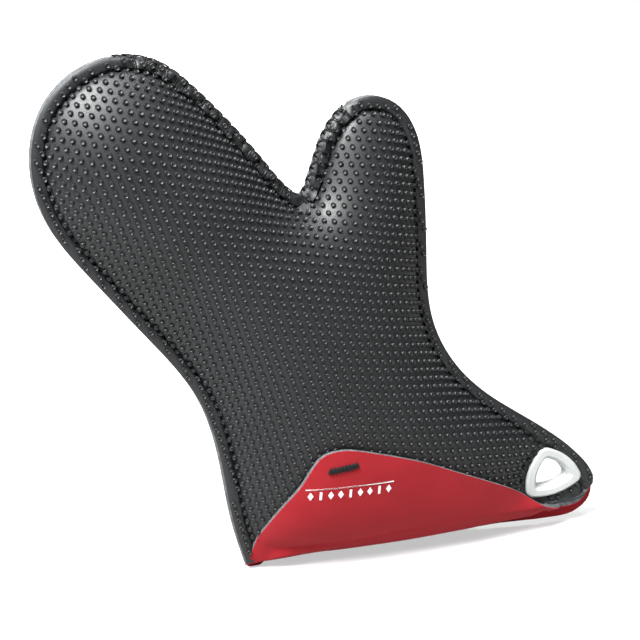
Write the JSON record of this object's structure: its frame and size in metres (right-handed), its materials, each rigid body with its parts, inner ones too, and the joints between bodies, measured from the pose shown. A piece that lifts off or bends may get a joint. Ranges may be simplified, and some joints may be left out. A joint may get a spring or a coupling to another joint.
{
  "type": "oven mitt",
  "caption": "Padded oven mitt with separate thumb, raised grip dots, lined hand pocket, folded-out cuff tongue and a three-cornered hanging eyelet.",
  "frame": {"origin": "on the floor under the middle of the mitt, on the plane where its two panels are sewn together", "axes": "+Z from the cuff up to the fingertips, +X towards the thumb side, the palm faces -Y"},
  "size_m": [0.3538, 0.0698, 0.3097],
  "materials": {
    "rubber": "satin charcoal with raised dots",
    "foam": "matte grey closed-cell foam",
    "lining": "fine red knit",
    "thread": "black spun polyester",
    "eyelet_plastic": "off-white moulded"
  },
  "bodies": {
    "root": {"front_skin": "rubber", "front_foam": "foam", "front_lining": "lining", "back_skin": "rubber", "back_foam": "foam", "back_lining": "lining", "seam_thread_left": "thread", "seam_thread_right": "thread", "overcast_thread": "thread", "bartack_thread": "thread", "eyelet_front": "eyelet_plastic", "eyelet_rear": "eyelet_plastic"}
  },
  "joints": []
}
